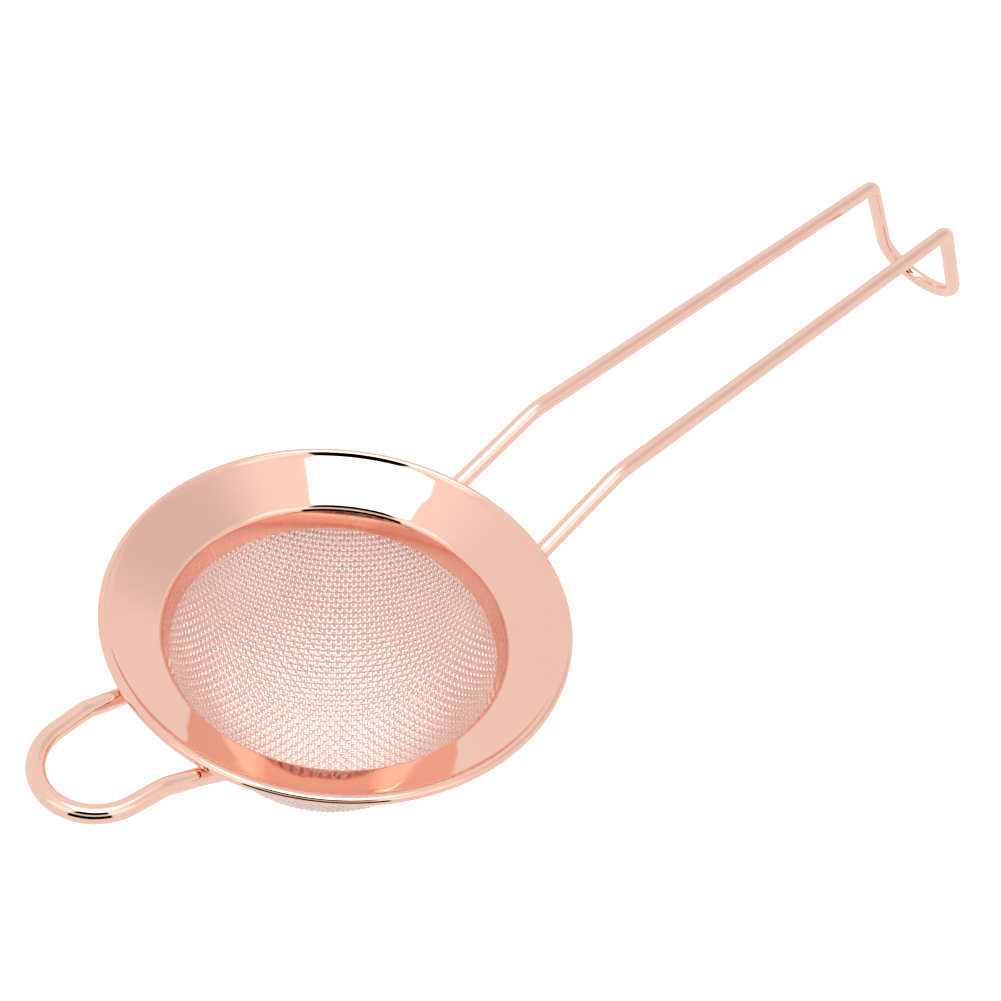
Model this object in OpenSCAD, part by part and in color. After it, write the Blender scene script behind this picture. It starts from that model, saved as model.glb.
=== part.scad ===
// Fine-mesh cocktail strainer: a dished sheet flange with a rolled bead, a woven
// wire basket held in its neck by a wedge-shaped collar, a bent wire handle with a
// hooked end and a wire rest loop opposite the handle.
// Millimetres. Origin on the basket axis at the plane of the rim's top edge,
// +X along the handle, +Z out of the basket's mouth.

/* [Rim] */
// Outer diameter across the rolled bead
rim_d = 90; // [84:1:100]
// Diameter of the rolled bead
bead_d = 1.6; // [1.2:0.1:2]
// Sheet thickness of flange and neck
sheet_t = 0.8; // [0.6:0.1:1]
// Height of the sheet's centre line above the bead's centre
sheet_lift = 0.34; // [0.2:0.02:0.36]
// Slope of the dished flange below the rim plane, degrees
flange_slope = 29; // [24:1:32]
// Outer diameter of the neck sleeve
neck_d = 69; // [68:0.5:72]
// Depth of the neck sleeve's lower edge below the rim plane
neck_depth = 12.3; // [11:0.1:15]

/* [Basket] */
// Depth of the basket's tip below the rim plane
basket_depth = 43.7; // [40:0.1:50]
// Angle between the basket's wall and its axis, degrees
wall_angle = 25; // [20:1:28]
// Thickness of the woven cloth, two wires thick
cloth_t = 0.8; // [0.6:0.1:0.8]
// Thickness of the cloth where the collar squeezes it against the neck
clamped_t = 0.5; // [0.4:0.05:0.6]
// Inner diameter at the collar's lower edge
collar_d = 63.8; // [63:0.1:65]

/* [Wires] */
// Diameter of the handle and loop wire
wire_d = 3.5; // [3:0.1:4]
// Slope of a wire's welded end under the flange, degrees
stub_slope = 26; // [25:0.5:28]
// Diameter of a weld nugget
weld_d = 4.6; // [4.4:0.1:5]

/* [Handle] */
// Distance between the two legs at the rim, centre to centre
leg_gap = 24.2; // [20:0.2:30]
// How much closer together the legs are at the far corner
leg_taper = 2.4; // [1:0.2:5]
// Distance of the near bend from the basket axis
near_bend_x = 65.6; // [60:0.2:80]
// Height of the near bend above the rim plane
near_bend_z = 6.3; // [5:0.1:8]
// Distance of the far corner from the basket axis
far_corner_x = 182; // [150:1:220]
// Height of the far corner above the rim plane
far_corner_z = 15.5; // [12:0.1:24]
// Length of the hook's straight part, measured from the far corner
hook_drop = 27; // [20:1:35]
// Lean of the hook away from the vertical, degrees
hook_lean = 34; // [5:1:45]

/* [Rest loop] */
// Distance between the loop's legs at the rim, centre to centre
loop_gap = 23.2; // [20:0.2:28]
// Angle by which each loop leg turns inwards, degrees
loop_toe = 4.2; // [2:0.2:6]
// Distance of the loop's bend from the basket axis
loop_bend_x = 51.2; // [49:0.2:54]
// Distance of the centre of the loop's round end from the basket axis
loop_end_x = 58.2; // [55:0.2:65]
// Slope of the loop's legs where they come out from under the rim, degrees
loop_slope = 21; // [15:1:25]

/* [Hidden] */
$fn = 96;

plate_color = [0.93, 0.72, 0.64];
cloth_color = [0.86, 0.66, 0.62];
wire_color = [0.95, 0.77, 0.70];
weld_color = [0.80, 0.52, 0.44];

// rim: the sheet's centre line runs from just above the bead's centre down to the neck
bead_r = bead_d / 2;
bead_ring_r = rim_d / 2 - bead_r;
sheet_end_r = bead_ring_r - bead_r / 2;
neck_out_r = neck_d / 2;
neck_in_r = neck_out_r - sheet_t;
sheet_half_z = sheet_t / 2 / cos(flange_slope);
function sheet_z(r) = sheet_lift - bead_r - (bead_ring_r - r) * tan(flange_slope);
function sheet_top_z(r) = sheet_z(r) + sheet_half_z;
function sheet_under_z(r) = sheet_z(r) - sheet_half_z;

// collar: a wedge ring, dished inside and flared at the top over the cloth's cut edge
fit_gap = 0.05;
collar_rise = 1.3;
cloth_below_lip = 0.8;
lip_drop = 0.4;
collar_out_r = neck_in_r - clamped_t;
collar_in_r = collar_d / 2;
collar_edge_t = 0.4;
collar_throat_r = collar_out_r - 0.3;
collar_bottom_z = collar_rise - neck_depth;
lip_top_z = sheet_top_z(neck_in_r) - lip_drop;
lip_r = neck_in_r - fit_gap;
lip_run = lip_r - collar_out_r;
cloth_top_z = lip_top_z - lip_run - cloth_below_lip;
cloth_gap = 0.02;
cloth_sink = 0.03;

// basket: a cone that runs tangentially into a round tip
cone_top_z = -neck_depth;
cone_h = basket_depth - neck_depth;
tip_r = (neck_in_r / tan(wall_angle) - cone_h) / (1 / sin(wall_angle) - 1);
tip_z = -basket_depth + tip_r;
tip_swell = 0.003;
tip_overlap = 2;

// wires: where they run under the flange
// bends are a hair thicker than the straights, whose ends sink into them
wire_r = wire_d / 2;
bend_r = wire_r + 0.02;
lap = 0.05;
bead_gap = 0.08;
neck_gap = 3;
under_bead = (bead_r + wire_r + bead_gap) / cos(flange_slope);
wire_inner_r = neck_out_r + neck_gap;
stub_turn = 2;
function along_x(r, y) = sqrt(r * r - y * y);
function stub_rise(run, slope_outside) = run * tan(max(stub_slope, slope_outside + stub_turn));

// handle: corner points of one leg as [distance along the leg, height]
leg_y = leg_gap / 2;
leg_toe = atan(leg_taper / 2 / (far_corner_x - along_x(bead_ring_r, leg_y)));
rim_x = along_x(bead_ring_r, leg_y);
rim_z = -bead_r - under_bead;
inner_x = along_x(wire_inner_r, leg_y);
leg_slope = atan2(near_bend_z - rim_z, near_bend_x - rim_x);
inner_z = rim_z - stub_rise(rim_x - inner_x, leg_slope);
leg_points = [
    [inner_x, inner_z],
    [rim_x, rim_z],
    [near_bend_x, near_bend_z],
    [far_corner_x, far_corner_z],
    [far_corner_x + hook_drop * sin(hook_lean), far_corner_z - hook_drop * cos(hook_lean)],
];
rim_bend = 12;
near_bend = 14;
corner_bend = 4;
leg_radii = [0, rim_bend, near_bend, corner_bend, 0];

// rest loop: the same for one of its legs
loop_y = loop_gap / 2;
loop_rim_x = along_x(bead_ring_r, loop_y);
loop_inner_x = along_x(wire_inner_r, loop_y);
loop_inner_z = rim_z - stub_rise(loop_rim_x - loop_inner_x, loop_slope);
loop_flat_z = rim_z + (loop_bend_x - loop_rim_x) * tan(loop_slope);
loop_points = [
    [loop_inner_x, loop_inner_z],
    [loop_rim_x, rim_z],
    [loop_bend_x, loop_flat_z],
    [loop_end_x, loop_flat_z],
];
loop_bend = 6;
loop_radii = [0, rim_bend, loop_bend, 0];

function heading(pts, i) = atan2(pts[i + 1][1] - pts[i][1], pts[i + 1][0] - pts[i][0]);
function turn(pts, i) = heading(pts, i - 1) - heading(pts, i);
function inside(pts, i) = i > 0 && i < len(pts) - 1;
function tangent(pts, radii, i) = inside(pts, i) ? radii[i] * tan(turn(pts, i) / 2) : 0;

// a straight stretch of wire from corner i to corner i + 1, shortened by its bends
module straight(pts, radii, i) {
    from = inside(pts, i) ? tangent(pts, radii, i) - lap : 0;
    to = norm(pts[i + 1] - pts[i]) - tangent(pts, radii, i + 1) + lap;
    translate([pts[i][0], 0, pts[i][1]])
        rotate([0, -heading(pts, i), 0])
            translate([from, 0, 0])
                rotate([0, 90, 0])
                    cylinder(h = to - from, r = wire_r);
}

// the downward bend of the wire at corner i
module bend(pts, radii, i) {
    translate([pts[i][0], 0, pts[i][1]])
        rotate([0, -heading(pts, i - 1), 0])
            translate([-tangent(pts, radii, i), 0, -radii[i]])
                rotate([90, 0, 0])
                    rotate_extrude(start = 90 - turn(pts, i), angle = turn(pts, i))
                        translate([radii[i], 0])
                            circle(r = bend_r);
}

// one leg: its points are measured along a line that starts at rim_x and turns inwards
module leg(pts, radii, y, toe) {
    translate([pts[1][0], y, 0])
        rotate([0, 0, -toe])
            translate([-pts[1][0], 0, 0]) {
                for (i = [0 : len(pts) - 2])
                    straight(pts, radii, i);
                for (i = [1 : len(pts) - 2])
                    bend(pts, radii, i);
            }
}

// the round end that joins the two legs
module bow(pts, y, toe) {
    last = len(pts) - 1;
    fall = -heading(pts, last - 1);
    travel = pts[last][0] - pts[1][0];
    end_x = pts[1][0] + travel * cos(toe);
    end_y = y - travel * sin(toe);
    lean_in = asin(cos(fall) * sin(toe));
    pitch = atan2(sin(fall), cos(fall) * cos(toe));
    bow_r = end_y / cos(lean_in);
    translate([end_x, 0, pts[last][1]])
        rotate([0, pitch, 0])
            translate([-bow_r * sin(lean_in), 0, 0])
                rotate_extrude(start = lean_in - 90, angle = 180 - 2 * lean_in)
                    translate([bow_r, 0])
                        circle(r = bend_r);
}

module both_sides() {
    children();
    mirror([0, 1, 0])
        children();
}

// a round lump of weld metal between a wire leg and the flange above it
module weld(pts, y, toe) {
    towards_neck = 0.6;
    mid_x = (pts[0][0] + pts[1][0]) / 2 - towards_neck;
    mid_y = y + (pts[1][0] - mid_x) * sin(toe);
    difference() {
        translate([mid_x, mid_y, sheet_under_z(norm([mid_x, mid_y]))])
            sphere(d = weld_d);
        translate([pts[1][0], y, 0])
            rotate([0, 0, -toe])
                translate([pts[0][0] - pts[1][0], 0, pts[0][1]])
                    rotate([0, -heading(pts, 0), 0])
                        rotate([0, 90, 0])
                            translate([0, 0, -weld_d])
                                cylinder(h = 4 * weld_d, r = wire_r);
        rotate_extrude()
            polygon([
                [neck_out_r - weld_d, sheet_under_z(neck_out_r - weld_d)],
                [bead_ring_r + weld_d, sheet_under_z(bead_ring_r + weld_d)],
                [bead_ring_r + weld_d, weld_d],
                [neck_out_r - weld_d, weld_d],
            ]);
    }
}

// half section of the bowl moved inwards by the given distance and carried
// on along the cone for a given height above the neck's lower edge; the round
// tip is a hair larger than the tangent circle, so that it crosses the cone
module bowl_section(inset, rise) {
    r = tip_r - inset;
    seam_r = r * cos(wall_angle);
    seam_z = tip_z - r * sin(wall_angle);
    top_r = neck_in_r - inset / cos(wall_angle) + rise * tan(wall_angle);
    intersection() {
        translate([0, tip_z])
            circle(r = r + tip_swell);
        translate([0, seam_z + tip_overlap - 2 * r])
            square([2 * r, 2 * r]);
    }
    polygon([
        [0, seam_z],
        [seam_r, seam_z],
        [top_r, cone_top_z + rise],
        [0, cone_top_z + rise],
    ]);
}

module rim_flange() {
    color(plate_color)
        rotate_extrude() {
            translate([bead_ring_r, -bead_r])
                circle(r = bead_r);
            polygon([
                [sheet_end_r, sheet_top_z(sheet_end_r)],
                [neck_in_r, sheet_top_z(neck_in_r)],
                [neck_in_r, -neck_depth],
                [neck_out_r, -neck_depth],
                [neck_out_r, sheet_under_z(neck_out_r)],
                [sheet_end_r, sheet_under_z(sheet_end_r)],
            ]);
        }
}

module mesh_collar() {
    color(plate_color)
        rotate_extrude()
            polygon([
                [collar_in_r, collar_bottom_z + collar_edge_t],
                [collar_in_r, collar_bottom_z],
                [collar_out_r, collar_bottom_z],
                [collar_out_r, lip_top_z - lip_run - collar_edge_t],
                [lip_r, lip_top_z - collar_edge_t],
                [lip_r, lip_top_z],
                [collar_throat_r, lip_top_z - (lip_r - collar_throat_r)],
            ]);
}

module mesh_basket() {
    color(cloth_color)
        rotate_extrude() {
            difference() {
                bowl_section(0, 0);
                bowl_section(cloth_t, cloth_t);
            }
            translate([collar_out_r + cloth_gap, cone_top_z - cloth_sink])
                square([clamped_t - 2 * cloth_gap, cloth_top_z - cone_top_z + cloth_sink]);
        }
}

module handle_wire() {
    color(wire_color) {
        both_sides()
            leg(leg_points, leg_radii, leg_y, leg_toe);
        bow(leg_points, leg_y, leg_toe);
    }
}

module rest_loop() {
    color(wire_color)
        rotate([0, 0, 180]) {
            both_sides()
                leg(loop_points, loop_radii, loop_y, loop_toe);
            bow(loop_points, loop_y, loop_toe);
        }
}

module handle_welds() {
    color(weld_color)
        both_sides()
            weld(leg_points, leg_y, leg_toe);
}

module loop_welds() {
    color(weld_color)
        rotate([0, 0, 180])
            both_sides()
                weld(loop_points, loop_y, loop_toe);
}

rim_flange();
mesh_collar();
mesh_basket();
handle_wire();
rest_loop();
handle_welds();
loop_welds();
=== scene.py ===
"""Visual model of the fine-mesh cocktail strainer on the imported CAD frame.

Lengths are millimetres in the CAD frame until a mesh is made: the origin is on
the basket's axis at the plane of the rim's top, +X runs along the handle and +Z
out of the mouth. MM turns them into Blender's metres.
"""
import math

import bmesh
import bpy
import numpy as np
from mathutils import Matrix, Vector


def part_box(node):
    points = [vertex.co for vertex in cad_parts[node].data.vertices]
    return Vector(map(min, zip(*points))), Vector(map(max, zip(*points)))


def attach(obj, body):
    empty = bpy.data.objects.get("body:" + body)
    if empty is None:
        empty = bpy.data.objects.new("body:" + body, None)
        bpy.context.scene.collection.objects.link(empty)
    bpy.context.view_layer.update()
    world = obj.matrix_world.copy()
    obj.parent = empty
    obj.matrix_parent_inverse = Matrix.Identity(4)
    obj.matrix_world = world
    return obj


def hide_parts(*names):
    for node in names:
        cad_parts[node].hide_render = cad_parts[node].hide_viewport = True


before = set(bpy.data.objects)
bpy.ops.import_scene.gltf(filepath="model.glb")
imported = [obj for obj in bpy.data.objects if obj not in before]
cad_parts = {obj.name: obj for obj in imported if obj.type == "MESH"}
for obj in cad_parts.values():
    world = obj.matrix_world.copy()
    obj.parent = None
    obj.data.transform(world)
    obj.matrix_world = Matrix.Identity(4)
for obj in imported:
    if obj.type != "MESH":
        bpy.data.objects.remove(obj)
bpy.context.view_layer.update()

MM = 0.001


def box_mm(node):
    """Lowest and highest corner of a CAD node in millimetres."""
    lo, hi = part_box(node)
    return lo / MM, hi / MM


# ---------------------------------------------------------------- driving sizes

rim_lo, rim_hi = box_mm("rim_flange")
cloth_lo, cloth_hi = box_mm("mesh_basket")

# Places taken from the frame.
RIM_R = rim_hi.x
NECK_BOTTOM = rim_lo.z
NECK_IN_R = cloth_hi.x
BASKET_TIP = cloth_lo.z
COLLAR_BOTTOM = box_mm("mesh_collar")[0].z
LOOP_REACH = -box_mm("rest_loop")[0].x

# Rim: sheet and its slope in degrees, then the rolled bead, which stands a small
# step above the flange and meets it in a flank, then the bends of the neck.
SHEET_T = 0.8
FLANGE_SLOPE = 29.0
FLANGE_ROWS = 40
BEAD_R = 0.95
BEAD_STEP = 0.15
BEAD_FLANK = 12.0
NECK_BEND_R = 2.2
NECK_OUTER_BEND_R = 0.7
EDGE_R = 0.25

# Collar: its face leans in by COLLAR_TILT and is hollow by COLLAR_DISH, both in
# degrees. It stands proud of the rim's bend by SEAM_STEP at the seam.
COLLAR_OUT_R = NECK_IN_R - 0.5
COLLAR_R = 31.55
COLLAR_FACE_BOTTOM = -10.1
COLLAR_TILT = 22.6
COLLAR_DISH = 2.0
SEAM_Z = -6.75
SEAM_STEP = 0.03

# Cloth: CLOTH_WALL is the wall's angle to the axis, CLOTH_TURN the azimuth of the
# warp, both in degrees. Past its last bend the cloth stands upright between neck and
# collar. Its waves flatten over CLAMP_RUN, from CLAMP_START before that bend.
WIRE_PITCH = 1.15
WIRE_HALF_WIDTH = 0.35
WIRE_HALF_T = 0.2
CLOTH_HALF_T = 0.4
CLOTH_WALL = 25.0
CLOTH_TURN = 47.0
CLOTH_BEND_R = 2.0
CLOTH_UPRIGHT = 1.6
CLAMP_START = 0.4
CLAMP_RUN = 1.0

# Bent wires: each leg's centre line as (distance from the axis, height) from its
# inner end under the flange to the bow, and the radius of the bend at each point.
# The legs start at a given distance from the middle and turn inwards by the toe.
ROD_R = 1.75
HANDLE_LEG = [(36.0, -7.3), (42.51, -3.95), (65.6, 6.3), (182.0, 15.5), (197.1, -6.88)]
HANDLE_BENDS = [0, 12, 14, 4, 0]
HANDLE_START_Y = 12.1
HANDLE_TOE = 0.49
LOOP_BOW_X = LOOP_REACH - 11.85
LOOP_LEG = [(36.2, -7.1), (42.65, -3.95), (51.2, -0.6), (LOOP_BOW_X, -0.6)]
LOOP_BENDS = [0, 12, 6, 0]
LOOP_START_Y = 11.6
LOOP_TOE = 4.2

# Welds, which fill a part of their CAD boxes, and the dimples that their heat has
# drawn into the flange.
WELD_Y = 11.9
WELD_FILL = 0.95
WELD_HEIGHT = 0.55
DIMPLE_R = 2.4
DIMPLE_DEPTH = 0.03


# ---------------------------------------------------------------- line helpers


def polar(radius, angle):
    """A 2-D vector of a given length at an angle in degrees."""
    a = math.radians(angle)
    return Vector((radius * math.cos(a), radius * math.sin(a)))


def arc(centre, radius, start, stop, step=4.0):
    """Points on a circle from one angle to another, in degrees."""
    count = max(2, round(abs(stop - start) / step))
    return [centre + polar(radius, start + (stop - start) * k / count) for k in range(count + 1)]


def rounded(before, corner, after, radius, step=4.0):
    """The points of the arc that rounds off one corner of a line."""
    along = (corner - before).normalized()
    onward = (after - corner).normalized()
    turn = along.angle(onward)
    if radius == 0 or turn < 1e-4:
        return [corner.copy()]
    start = corner - along * radius * math.tan(turn / 2)
    side = (onward - along * along.dot(onward)).normalized()
    centre = start + side * radius
    count = max(2, round(math.degrees(turn) / step))
    angles = [turn * k / count for k in range(count + 1)]
    return [centre + (along * math.sin(a) - side * math.cos(a)) * radius for a in angles]


def rounded_line(points, radii, step=4.0):
    """An open line through the points whose inner corners are rounded off."""
    line = [points[0].copy()]
    for before, corner, after, radius in zip(points, points[1:], points[2:], radii[1:]):
        line += rounded(before, corner, after, radius, step)
    return line + [points[-1].copy()]


def rounded_outline(corners, step=6.0):
    """A closed outline from (r, z, rounding) corners."""
    points = [Vector(c[:2]) for c in corners]
    outline = []
    for k, corner in enumerate(corners):
        outline += rounded(points[k - 1], points[k], points[(k + 1) % len(points)], corner[2], step)
    return outline


def spread(start, stop, count):
    """Evenly spaced points strictly between two points."""
    return [start.lerp(stop, k / count) for k in range(1, count)]


# ---------------------------------------------------------------- mesh helpers


def weld_spots():
    """Plan positions of the four welds, whose heat has drawn the flange slightly."""
    spots = []
    for node in ("handle_welds", "loop_welds"):
        lo, hi = box_mm(node)
        spots += [((lo.x + hi.x) / 2, side * WELD_Y) for side in (-1, 1)]
    return spots


def drawn_by_welds(verts):
    """Sinks shallow dimples into the flange over each weld."""
    spots = weld_spots()
    moved = []
    for x, y, z in verts:
        sink = 0.0
        for spot_x, spot_y in spots:
            reach = ((x - spot_x) ** 2 + (y - spot_y) ** 2) / DIMPLE_R**2
            if reach < 9:
                sink += DIMPLE_DEPTH * math.exp(-reach)
        moved.append((x, y, z - sink))
    return moved


def make_mesh(name, verts, faces, sharp_angle=40.0):
    """A smooth-shaded mesh object from vertices in millimetres."""
    mesh = bpy.data.meshes.new(name)
    mesh.from_pydata([tuple(c * MM for c in v) for v in verts], [], faces)
    work = bmesh.new()
    work.from_mesh(mesh)
    bmesh.ops.recalc_face_normals(work, faces=work.faces)
    work.to_mesh(mesh)
    work.free()
    mesh.shade_smooth()
    mesh.set_sharp_from_angle(angle=math.radians(sharp_angle))
    piece = bpy.data.objects.new(name, mesh)
    bpy.context.scene.collection.objects.link(piece)
    return piece


def lathe(name, outline, segments=360, shape=None):
    """A closed outline in the (r, z) half plane turned about the Z axis."""
    count = len(outline)
    verts = []
    for k in range(segments):
        a = 2 * math.pi * k / segments
        verts += [(p[0] * math.cos(a), p[0] * math.sin(a), p[1]) for p in outline]
    faces = []
    for k in range(segments):
        here, there = k * count, (k + 1) % segments * count
        for i in range(count):
            j = (i + 1) % count
            faces.append((here + i, here + j, there + j, there + i))
    return make_mesh(name, shape(verts) if shape else verts, faces)


def rod(name, path, radius, sides=40, edge=0.5):
    """A round rod along a path, with its two ends' edges rounded off."""
    centres, radii = end_rings(path[0], path[1], radius, edge)
    last_centres, last_radii = end_rings(path[-1], path[-2], radius, edge)
    centres += path[1:-1] + last_centres[::-1]
    radii += [radius] * (len(path) - 2) + last_radii[::-1]
    steps = [(b - a).normalized() for a, b in zip(centres, centres[1:])]
    tangents = [(a + b).normalized() for a, b in zip(steps, steps[1:])]
    tangents = [steps[0]] + tangents + [steps[-1]]
    side = tangents[0].orthogonal().normalized()
    verts = []
    for k, (centre, size, tangent) in enumerate(zip(centres, radii, tangents)):
        if k:
            side = tangents[k - 1].rotation_difference(tangent) @ side
        across = tangent.cross(side)
        for i in range(sides):
            a = 2 * math.pi * i / sides
            verts.append(centre + (side * math.cos(a) + across * math.sin(a)) * size)
    faces = ring_faces(len(centres), sides)
    return make_mesh(name, verts, faces)


def end_rings(end, inward, radius, edge):
    """Centres and radii of the rings that round off a rod's end."""
    along = (inward - end).normalized()
    angles = [math.radians(15 * k) for k in range(7)]
    centres = [end + along * edge * (1 - math.cos(a)) for a in angles]
    radii = [radius - edge + edge * math.sin(a) for a in angles]
    return centres, radii


def ring_faces(rings, sides):
    """Faces of a tube made of equal rings of vertices, with both ends closed."""
    faces = []
    for k in range(rings - 1):
        for i in range(sides):
            j = (i + 1) % sides
            here, there = k * sides, (k + 1) * sides
            faces.append((here + i, here + j, there + j, there + i))
    faces.append(tuple(range(sides)))
    faces.append(tuple((rings - 1) * sides + i for i in range(sides)))
    return faces


# ---------------------------------------------------------------- rim and collar


def collar_face():
    """Bottom, upward direction and top of the collar's face, which meets the neck bend."""
    bottom = Vector((COLLAR_R, COLLAR_FACE_BOTTOM))
    upward = polar(1, 90 - COLLAR_TILT)
    seam = bottom + upward * ((SEAM_Z - bottom.y) / upward.y)
    return bottom, upward, seam


def rim_outline():
    """Section of the rim: rolled bead, dished flange, neck bend and neck sleeve."""
    bead = Vector((RIM_R - BEAD_R, -BEAD_R))
    flat = 90 + FLANGE_SLOPE
    steep = flat + BEAD_FLANK
    normal = polar(1, flat)
    outward = polar(1, FLANGE_SLOPE)
    blend_r = BEAD_STEP / (1 - math.cos(math.radians(BEAD_FLANK))) - BEAD_R
    blend = bead + polar(BEAD_R + blend_r, steep)
    flank = [blend - (p - blend) for p in arc(blend, blend_r, steep, flat, 1.0)]
    top = flank[-1]
    face_bottom, face_up, seam = collar_face()
    bend_corner = crossing(top, outward, face_bottom, face_up)
    neck_bend = rounded(top, bend_corner, seam, NECK_BEND_R, 2.0)
    neck_out_r = NECK_IN_R + SHEET_T
    under = bead + normal * (BEAD_R - BEAD_STEP - SHEET_T)
    under_corner = under + outward * (neck_out_r - under.x) / outward.x
    curl = bead + polar(BEAD_R, flat + 90)
    shoulder = Vector((NECK_IN_R, SEAM_Z - 0.4))
    inner_foot = Vector((NECK_IN_R, NECK_BOTTOM))
    outer_foot = Vector((neck_out_r, NECK_BOTTOM))
    outline = arc(bead, BEAD_R, flat - 270, steep)
    outline += flank[1:]
    outline += spread(top, neck_bend[0], FLANGE_ROWS) + neck_bend
    outline += [seam, Vector((seam.x + 0.2, seam.y - 0.15)), shoulder]
    foot = rounded(shoulder, inner_foot, outer_foot, EDGE_R, 10)
    outline += spread(shoulder, foot[0], 6) + foot
    outline += rounded(inner_foot, outer_foot, under_corner, EDGE_R, 10)
    under_bend = rounded(outer_foot, under_corner, curl, NECK_OUTER_BEND_R, 4)
    outline += under_bend + spread(under_bend[-1], curl, 12)
    return outline


def dish(start, stop, turn, count=20):
    """Points from start to stop on a shallow arc that turns by some degrees."""
    chord = stop - start
    sag = chord.length * math.tan(math.radians(turn) / 4) / 2
    bulge = Vector((chord.y, -chord.x)).normalized() * sag
    parts = [k / count for k in range(count + 1)]
    return [start + chord * t + bulge * 4 * t * (1 - t) for t in parts]


def crossing(point, along, other, other_along):
    """Where two lines in the plane cross."""
    gap = other - point
    scale = (gap.x * other_along.y - gap.y * other_along.x) / (
        along.x * other_along.y - along.y * other_along.x
    )
    return point + along * scale


def collar_outline():
    """Section of the collar: a wedge ring, dished inside, that covers the cloth's edge."""
    face_bottom, _, seam = collar_face()
    proud = Vector((-SEAM_STEP, 0))
    return rounded_outline([
        (COLLAR_R, COLLAR_FACE_BOTTOM - 0.35, 0.12),
        (COLLAR_OUT_R, COLLAR_BOTTOM, 0.12),
        (COLLAR_OUT_R, SEAM_Z - 0.9, 0.2),
        (seam.x + 0.12, SEAM_Z - 0.1, 0.05),
    ]) + dish(seam + proud, face_bottom + proud, COLLAR_DISH)


# ---------------------------------------------------------------- woven cloth


class ClothSurface:
    """Middle surface of the cloth, measured by the arc length up from its tip.

    A round tip runs into a cone, which bends upright between neck and collar.
    """

    def __init__(self):
        wall = math.radians(CLOTH_WALL)
        neck_r, depth = NECK_IN_R, NECK_BOTTOM - BASKET_TIP
        outer_r = (neck_r / math.tan(wall) - depth) / (1 / math.sin(wall) - 1)
        self.wall = wall
        self.centre_z = BASKET_TIP + outer_r
        self.tip_r = outer_r - CLOTH_HALF_T
        self.s_cone = self.tip_r * (math.pi / 2 - wall)
        self.cone = (self.tip_r * math.cos(wall), self.centre_z - self.tip_r * math.sin(wall))
        upright_r = (NECK_IN_R + COLLAR_OUT_R) / 2
        self.bend_r = CLOTH_BEND_R
        cut = self.bend_r * math.tan(wall / 2)
        self.s_bend = self.s_cone + (upright_r - self.cone[0]) / math.sin(wall) - cut
        self.s_upright = self.s_bend + self.bend_r * wall
        self.s_top = self.s_upright + CLOTH_UPRIGHT

    def profile(self, s):
        """Radius, height and the two parts of the tangent at arc length s."""
        t = np.clip(s, 0, self.s_cone) / self.tip_r
        r = self.tip_r * np.sin(t)
        z = self.centre_z - self.tip_r * np.cos(t)
        c = np.clip(s - self.s_cone, 0, self.s_bend - self.s_cone)
        r = r + c * math.sin(self.wall)
        z = z + c * math.cos(self.wall)
        b = np.clip(s - self.s_bend, 0, self.s_upright - self.s_bend) / self.bend_r
        r = r + self.bend_r * (np.cos(self.wall - b) - math.cos(self.wall))
        z = z + self.bend_r * (math.sin(self.wall) - np.sin(self.wall - b))
        z = z + np.maximum(s - self.s_upright, 0)
        slope = math.pi / 2 - t
        slope = np.where(s > self.s_bend, self.wall - b, slope)
        return r, z, np.sin(slope), np.cos(slope)

    def point(self, s, turn):
        """Points and outward normals at arc length s and azimuth turn."""
        r, z, along_r, along_z = self.profile(s)
        c, d = np.cos(turn), np.sin(turn)
        place = np.stack([r * c, r * d, z], -1)
        out = np.stack([along_z * c, along_z * d, -along_r], -1)
        return place, out


def crossings(surface, line, start_turn):
    """Arc length, azimuth and side (+1 outside) of one wire's crossings.

    A disc of square weave is pressed to shape with the distances from the tip kept.
    Wire number line passes the tip at a distance of line + 1/2 pitches.
    """
    count = int(surface.s_top / WIRE_PITCH) + 1
    number = np.arange(-count, count)
    across, along = (line + 0.5) * WIRE_PITCH, (number + 0.5) * WIRE_PITCH
    s = np.hypot(across, along)
    inside = s < surface.s_top
    turn = start_turn + np.arctan2(along, across)
    side = np.where((line + number) % 2 == 0, 1.0, -1.0)
    return s[inside], turn[inside], side[inside]


def cloth_wire(surface, line, start_turn, sides=8):
    """Vertices and faces of one woven wire, rolled a little flat, through its crossings.

    Its waves are pressed flatter where the cloth is clamped.
    """
    s, turn, side = crossings(surface, line, start_turn)
    place, out = surface.point(s, turn)
    squeezed = np.clip((s - surface.s_bend + CLAMP_START) / CLAMP_RUN, 0, 1)
    wave = WIRE_HALF_T * (1 - 0.75 * squeezed)
    middle_out = out[:-1] + out[1:]
    middle_out /= np.linalg.norm(middle_out, axis=1)[:, None]
    centres = np.empty((2 * len(s) - 1, 3))
    normals = np.empty_like(centres)
    centres[0::2] = place + out * (wave * side)[:, None]
    centres[1::2] = (place[:-1] + place[1:]) / 2
    normals[0::2], normals[1::2] = out, middle_out
    along = np.gradient(centres, axis=0)
    along /= np.linalg.norm(along, axis=1)[:, None]
    across = np.cross(along, normals)
    across /= np.linalg.norm(across, axis=1)[:, None]
    normals = np.cross(across, along)
    a = np.arange(sides) * 2 * math.pi / sides
    thick = WIRE_HALF_T * np.cos(a)[None, :, None] * normals[:, None]
    wide = WIRE_HALF_WIDTH * np.sin(a)[None, :, None] * across[:, None]
    rings = centres[:, None] + thick + wide
    return rings.reshape(-1, 3), ring_faces(len(centres), sides)


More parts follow.
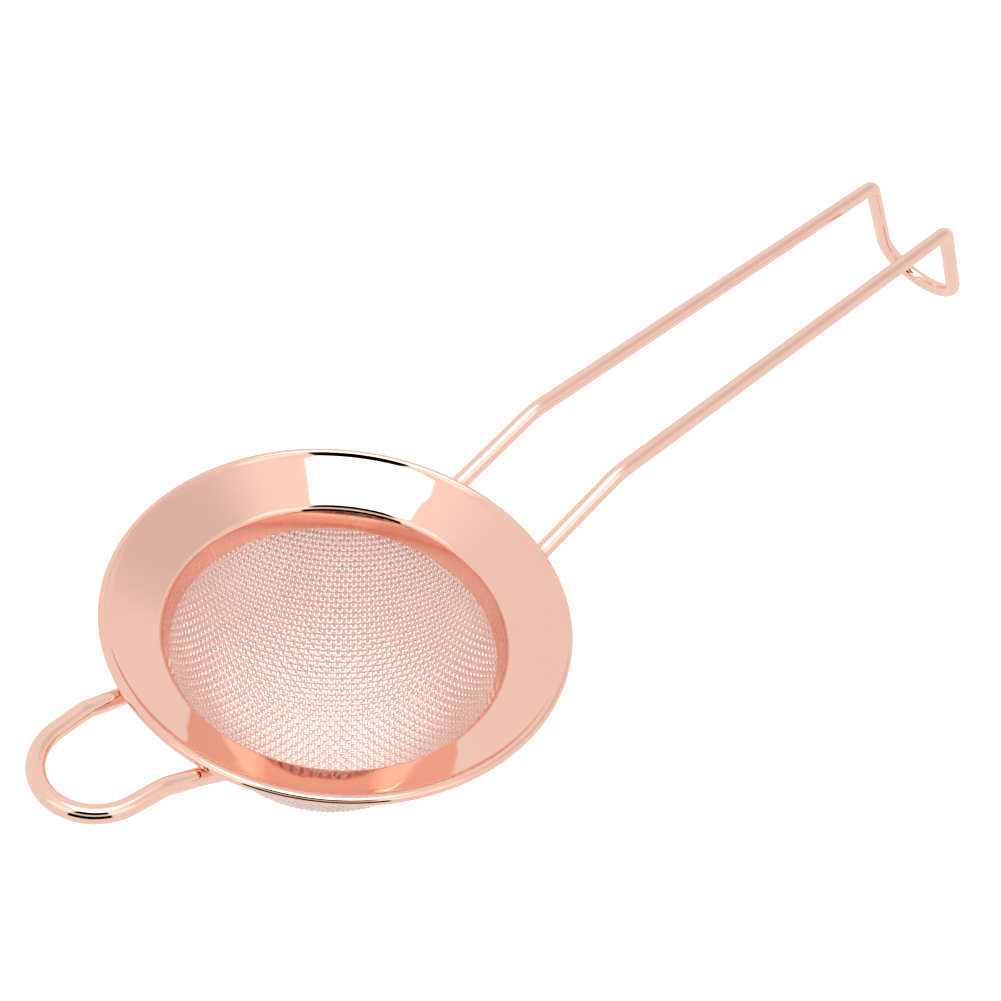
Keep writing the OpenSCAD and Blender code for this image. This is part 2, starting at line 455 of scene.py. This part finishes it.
def cloth_family(name, surface, lines, start_turn):
    """One piece made of some of the wires that run one way."""
    verts, faces, offset = [], [], 0
    for line in lines:
        wire_verts, wire_faces = cloth_wire(surface, line, start_turn)
        verts.append(wire_verts)
        faces += [tuple(v + offset for v in f) for f in wire_faces]
        offset += len(wire_verts)
    mesh = bpy.data.meshes.new(name)
    mesh.from_pydata((np.concatenate(verts) * MM).tolist(), [], faces)
    mesh.shade_smooth()
    piece = bpy.data.objects.new(name, mesh)
    bpy.context.scene.collection.objects.link(piece)
    return piece


def make_cloth():
    """The woven cloth as four pieces: warp and weft, every other wire in each.

    The weft is the warp turned a quarter round about the basket's axis.
    """
    surface = ClothSurface()
    last_line = int(surface.s_top / WIRE_PITCH) - 1
    pieces = []
    for family, quarter_turns in (("warp", 0), ("weft", 1)):
        start_turn = math.radians(CLOTH_TURN + 90 * quarter_turns)
        for tag, first in (("even", -last_line), ("odd", 1 - last_line)):
            lines = range(first, last_line, 2)
            pieces.append(cloth_family(f"cloth_{family}_{tag}", surface, lines, start_turn))
    return pieces


# ---------------------------------------------------------------- bent wires


def leg_place(x, z, start_x, start_y, toe):
    """A point of a leg at distance x, on the line that turns inwards at start_x."""
    run = x - start_x
    a = math.radians(toe)
    return Vector((start_x + run * math.cos(a), start_y - run * math.sin(a), z))


def bent_wire(leg_points, radii, toe, start_y, side):
    """Path of a wire: out along one leg, round the bow and back along the other.

    side is 1 for a wire that points along +X and -1 for one that points along -X.
    """
    start_x = leg_points[1][0]
    points = [leg_place(x, z, start_x, start_y, toe) for x, z in leg_points]
    leg = rounded_line(points, radii, 3.0)
    end = points[-1]
    heading = (points[-1] - points[-2]).normalized()
    lean_in = math.asin(-heading.y)
    ahead = Vector((heading.x, 0, heading.z)).normalized()
    bow_r = end.y / math.cos(lean_in)
    middle = Vector((end.x, 0, end.z)) - ahead * bow_r * math.sin(lean_in)
    half_turn = math.pi / 2 - lean_in
    half_steps = 24
    bow = []
    for k in range(1, 2 * half_steps):
        a = half_turn * (1 - k / half_steps)
        bow.append(middle + ahead * bow_r * math.cos(a) + Vector((0, bow_r * math.sin(a), 0)))
    back = [Vector((p.x, -p.y, p.z)) for p in reversed(leg)]
    path = leg + bow + back
    return [Vector((side * p.x, side * p.y, p.z)) for p in path]


def handle_path():
    """Centre line of the handle wire, inner ends under the flange."""
    return bent_wire(HANDLE_LEG, HANDLE_BENDS, HANDLE_TOE, HANDLE_START_Y, 1)


def loop_path():
    """Centre line of the rest loop, which points away from the handle."""
    return bent_wire(LOOP_LEG, LOOP_BENDS, LOOP_TOE, LOOP_START_Y, -1)


# ---------------------------------------------------------------- materials


def link_value(tree, socket, value):
    """Joins a socket to an output, or sets its constant."""
    if isinstance(value, bpy.types.NodeSocket):
        tree.links.new(value, socket)
    else:
        socket.default_value = value


def math_node(tree, operation, *values):
    """A math node's output."""
    node = tree.nodes.new("ShaderNodeMath")
    node.operation = operation
    for socket, value in zip(node.inputs, values):
        link_value(tree, socket, value)
    return node.outputs[0]


def remap(tree, value, from_min, from_max, to_min, to_max, smooth=False):
    """A value carried from one range to another."""
    node = tree.nodes.new("ShaderNodeMapRange")
    node.interpolation_type = "SMOOTHSTEP" if smooth else "LINEAR"
    limits = (value, from_min, from_max, to_min, to_max)
    for name, item in zip(("Value", "From Min", "From Max", "To Min", "To Max"), limits):
        link_value(tree, node.inputs[name], item)
    return node.outputs[0]


def noise(tree, scale, detail):
    """Noise in the object's own metres."""
    place = tree.nodes.new("ShaderNodeTexCoord")
    node = tree.nodes.new("ShaderNodeTexNoise")
    node.inputs["Scale"].default_value = scale
    node.inputs["Detail"].default_value = detail
    tree.links.new(place.outputs["Object"], node.inputs["Vector"])
    return node.outputs[0]


def metal(name, colour, shade, rough, wave_size, wave_height):
    """Plated metal: patchy tint, finely grained polish and a soft waviness.

    rough is the range of roughness; the waves' size and height are millimetres.
    """
    material = bpy.data.materials.new(name)
    material.use_nodes = True
    tree = material.node_tree
    shader = tree.nodes["Principled BSDF"]
    shader.inputs["Metallic"].default_value = 1.0
    tint = tree.nodes.new("ShaderNodeMix")
    tint.data_type = "RGBA"
    patches = remap(tree, noise(tree, 60.0, 3.0), 0.35, 0.65, 0.0, 1.0)
    tree.links.new(patches, tint.inputs["Factor"])
    tint.inputs["A"].default_value = (*colour, 1)
    tint.inputs["B"].default_value = (*shade, 1)
    tree.links.new(tint.outputs["Result"], shader.inputs["Base Color"])
    polish = remap(tree, noise(tree, 900.0, 4.0), 0.3, 0.7, rough[0], rough[1])
    tree.links.new(polish, shader.inputs["Roughness"])
    bump = tree.nodes.new("ShaderNodeBump")
    bump.inputs["Distance"].default_value = wave_height * MM
    bump.inputs["Strength"].default_value = 1.0
    tree.links.new(noise(tree, 1000.0 / wave_size, 1.0), bump.inputs["Height"])
    tree.links.new(bump.outputs["Normal"], shader.inputs["Normal"])
    return material


def polished_sheet():
    """Mirror-polished rose gold of the rim."""
    return metal("polished_sheet", (0.975, 0.61, 0.50), (0.965, 0.59, 0.475), (0.025, 0.05), 9.0, 0.02)


def satin_collar():
    """The collar, a little duller and deeper in colour than the rim."""
    return metal("satin_collar", (0.985, 0.59, 0.47), (0.975, 0.57, 0.45), (0.06, 0.10), 9.0, 0.01)


def cloth_wires_painted_sheen():
    """The cloth's thin wires, duller than the sheet; their paler colour is a painted sheen that stands
    in for the softbox's light on them.
    """
    return metal("cloth_wires_painted_sheen", (0.965, 0.80, 0.755), (0.95, 0.76, 0.71), (0.24, 0.32), 0.8, 0.004)


def polished_wire():
    """Thick drawn and polished wire."""
    return metal("polished_wire", (0.97, 0.64, 0.53), (0.96, 0.62, 0.50), (0.04, 0.08), 3.0, 0.006)


def weld_metal():
    """Rougher lumps of weld metal, plated over."""
    return metal("weld_metal", (0.88, 0.52, 0.40), (0.80, 0.44, 0.33), (0.18, 0.34), 0.9, 0.06)


# ---------------------------------------------------------------- welds


def innermost_y(node):
    """The smallest |y| of a CAD node's vertices, in millimetres."""
    return min(abs(v.co.y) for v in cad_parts[node].data.vertices) / MM


def weld_lump(name, node, side_y):
    """A lump of weld metal between a wire and the flange's under side.

    It lies within that half of the CAD node that is on the given side of y = 0.
    """
    lo, hi = box_mm(node)
    outward = 1 if lo.x > 0 else -1
    inner_y = innermost_y(node)
    centre = Vector(((lo.x + hi.x) / 2, side_y * (inner_y + hi.y) / 2, (lo.z + hi.z) / 2))
    half = Vector(((hi.x - lo.x) / 2, (hi.y - inner_y) / 2, (hi.z - lo.z) / 2))
    slope = math.radians(FLANGE_SLOPE)
    upward = Vector((-outward * math.sin(slope), 0, math.cos(slope)))
    along = Vector((outward * math.cos(slope), 0, math.sin(slope)))
    rows, sides = 16, 40
    verts = []
    for k in range(rows):
        t = -1 + 2 * k / (rows - 1)
        width = 0.74 + 0.26 * abs(t) ** 3
        cap = math.sqrt(max(0.02, 1 - max(0.0, abs(t) - 0.8) ** 2 / 0.04))
        for i in range(sides):
            a = 2 * math.pi * i / sides
            ripple = 1 + 0.035 * math.sin(3 * a + 2 * t) + 0.02 * math.sin(7 * a - 4 * t)
            size = width * cap * ripple * WELD_FILL
            verts.append(
                centre
                + along * half.y * size * math.cos(a)
                + Vector((0, half.y * size * math.sin(a), 0))
                + upward * half.z * WELD_HEIGHT * t
            )
    return make_mesh(name, verts, ring_faces(rows, sides), 60)


# ---------------------------------------------------------------- pieces


finishes = {
    "plated_sheet": polished_sheet(),
    # The cloth's finish has a paler base colour that paints in the softbox's sheen on its wires.
    "plated_wire_cloth": cloth_wires_painted_sheen(),
    "plated_wire": polished_wire(),
    "plated_weld": weld_metal(),
}


def add_piece(piece, node, slot, finish=None):
    """Joins a visual piece to the frame and gives it its own or its slot's finish."""
    piece.data.materials.append(finish or finishes[slot])
    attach(piece, "root")
    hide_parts(node)


add_piece(lathe("rim_sheet", rim_outline(), shape=drawn_by_welds), "rim_flange", "plated_sheet")
add_piece(lathe("collar_ring", collar_outline()), "mesh_collar", "plated_sheet", satin_collar())
for cloth_piece in make_cloth():
    add_piece(cloth_piece, "mesh_basket", "plated_wire_cloth")
add_piece(rod("handle_rod", handle_path(), ROD_R), "handle_wire", "plated_wire")
add_piece(rod("loop_rod", loop_path(), ROD_R), "rest_loop", "plated_wire")
for cad_node in ("handle_welds", "loop_welds"):
    for tag, side in (("left", 1), ("right", -1)):
        add_piece(weld_lump(f"{cad_node}_{tag}", cad_node, side), cad_node, "plated_weld")


# ---------------------------------------------------------------- studio


def unit(azimuth, elevation):
    """Unit vector towards a compass direction, in degrees from +X and above the floor."""
    a, e = math.radians(azimuth), math.radians(elevation)
    return Vector((math.cos(e) * math.cos(a), math.cos(e) * math.sin(a), math.sin(e)))


def make_camera():
    """The photo's viewpoint, found by fitting a camera to the object's outlines.

    Angles are degrees. The aim is pan to the right of, rise above and drop straight
    below the origin, in millimetres.
    """
    azimuth, elevation, roll, distance = -143.872, 43.809, 11.296, 379.497
    pan, rise, drop = 25.858, 26.582, 0.46
    towards = unit(azimuth, elevation)
    right = (-towards).cross(Vector((0, 0, 1))).normalized()
    up = right.cross(-towards)
    target = right * pan + up * rise - Vector((0, 0, drop))
    r = math.radians(roll)
    rolled_right = right * math.cos(r) + up * math.sin(r)
    rolled_up = up * math.cos(r) - right * math.sin(r)
    data = bpy.data.cameras.new("photo_camera")
    data.sensor_width = 36.0
    data.lens = 71.93
    data.clip_start, data.clip_end = 0.01, 20.0
    camera = bpy.data.objects.new("photo_camera", data)
    bpy.context.scene.collection.objects.link(camera)
    matrix = camera.matrix_world.copy()
    for k in range(3):
        matrix[k][0], matrix[k][1], matrix[k][2] = rolled_right[k], rolled_up[k], towards[k]
        matrix[k][3] = (target[k] + towards[k] * distance) * MM
    camera.matrix_world = matrix
    bpy.context.scene.camera = camera


def make_softbox():
    """The large overhead softbox, sized and placed in parts of its height in metres."""
    height, width, depth, radiance = 1.5, 0.51, 0.66, 2.3
    data = bpy.data.lights.new("softbox", "AREA")
    data.shape = "RECTANGLE"
    data.size, data.size_y = width * height, depth * height
    data.energy = math.pi * data.size * data.size_y * radiance
    light = bpy.data.objects.new("softbox", data)
    light.location = (-0.055 * height, 0.011 * height, height)
    light.rotation_euler = (0, 0, math.radians(-48))
    light.visible_camera = False
    bpy.context.scene.collection.objects.link(light)


def make_floor():
    """A plain near-white floor under the basket's tip."""
    size = 3000.0
    corners = [(-size, -size), (size, -size), (size, size), (-size, size)]
    verts = [(x, y, BASKET_TIP - 0.1) for x, y in corners]
    floor = make_mesh("floor", verts, [(0, 1, 2, 3)])
    material = bpy.data.materials.new("floor_white")
    material.use_nodes = True
    shader = material.node_tree.nodes["Principled BSDF"]
    shader.inputs["Base Color"].default_value = (0.6, 0.6, 0.6, 1)
    shader.inputs["Roughness"].default_value = 1.0
    shader.inputs["Specular IOR Level"].default_value = 0.0
    shader.inputs["Emission Color"].default_value = (1, 1, 1, 1)
    shader.inputs["Emission Strength"].default_value = 0.95
    floor.data.materials.append(material)
    floor.visible_glossy = False


def band(tree, value, low, high, soft):
    """1 between low and high, falling to 0 over a soft margin outside them."""
    rising = remap(tree, value, low - soft, low, 0.0, 1.0, True)
    falling = remap(tree, value, high, high + soft, 1.0, 0.0, True)
    return math_node(tree, "MULTIPLY", rising, falling)


def compass(tree, direction, zero):
    """Azimuth, counted from zero, and elevation of a direction, in degrees."""

    def times(value, factor):
        return math_node(tree, "MULTIPLY", value, factor)

    split = tree.nodes.new("ShaderNodeSeparateXYZ")
    tree.links.new(direction, split.inputs[0])
    x, y, z = split.outputs
    c, d = math.cos(math.radians(zero)), math.sin(math.radians(zero))
    ahead = math_node(tree, "ADD", times(x, c), times(y, d))
    aside = math_node(tree, "SUBTRACT", times(y, c), times(x, d))
    degrees = 180 / math.pi
    azimuth = times(math_node(tree, "ARCTAN2", aside, ahead), degrees)
    elevation = times(math_node(tree, "ARCSINE", z), degrees)
    return azimuth, elevation


def dark_opening(tree, azimuth, elevation):
    """1 in the two dark windows, one above the other, behind the camera."""
    wide = band(tree, azimuth, -28.5, 28.5, 1.5)
    upper = band(tree, elevation, 43.0, 69.0, 1.5)
    lower = band(tree, elevation, -5.0, 26.0, 1.5)
    return math_node(tree, "MULTIPLY", wide, math_node(tree, "ADD", upper, lower))


def side_glow(tree, azimuth, elevation):
    """Extra light from the tent's two sides."""
    both_sides = band(tree, math_node(tree, "ABSOLUTE", azimuth), 30.0, 62.0, 8.0)
    rising = remap(tree, elevation, 20.0, 32.0, 0.0, 0.45, True)
    falling = remap(tree, elevation, 52.0, 64.0, 1.0, 0.0, True)
    return math_node(tree, "MULTIPLY", math_node(tree, "MULTIPLY", both_sides, rising), falling)


def dim_patch(tree, direction):
    """How much darker the tent is towards the handle."""
    dot = tree.nodes.new("ShaderNodeVectorMath")
    dot.operation = "DOT_PRODUCT"
    tree.links.new(direction, dot.inputs[0])
    dot.inputs[1].default_value = unit(-20, 45)
    return remap(tree, dot.outputs["Value"], 0.84, 1.0, 0.0, 0.17, True)


def make_world():
    """A white light tent, slightly uneven, with a dark opening behind the camera."""
    world = bpy.data.worlds.new("tent")
    bpy.context.scene.world = world
    world.use_nodes = True
    tree = world.node_tree
    tree.nodes.clear()
    direction = tree.nodes.new("ShaderNodeTexCoord").outputs["Generated"]
    azimuth, elevation = compass(tree, direction, -138)
    glow = remap(tree, elevation, 55.0, 70.0, 0.90, 1.03, True)
    tent = math_node(tree, "SUBTRACT", glow, dim_patch(tree, direction))
    tent = math_node(tree, "ADD", tent, side_glow(tree, azimuth, elevation))
    lit = math_node(tree, "SUBTRACT", 1.0, dark_opening(tree, azimuth, elevation))
    bright = math_node(tree, "MULTIPLY", tent, lit)
    path = tree.nodes.new("ShaderNodeLightPath")
    seen = math_node(tree, "MAXIMUM", bright, path.outputs["Is Camera Ray"])
    background = tree.nodes.new("ShaderNodeBackground")
    background.inputs["Color"].default_value = (1, 1, 1, 1)
    tree.links.new(seen, background.inputs["Strength"])
    output = tree.nodes.new("ShaderNodeOutputWorld")
    tree.links.new(background.outputs[0], output.inputs[0])


make_camera()
make_softbox()
make_floor()
make_world()
scene = bpy.context.scene
scene.view_settings.view_transform = "Standard"
scene.cycles.max_bounces = 16
scene.cycles.glossy_bounces = 14
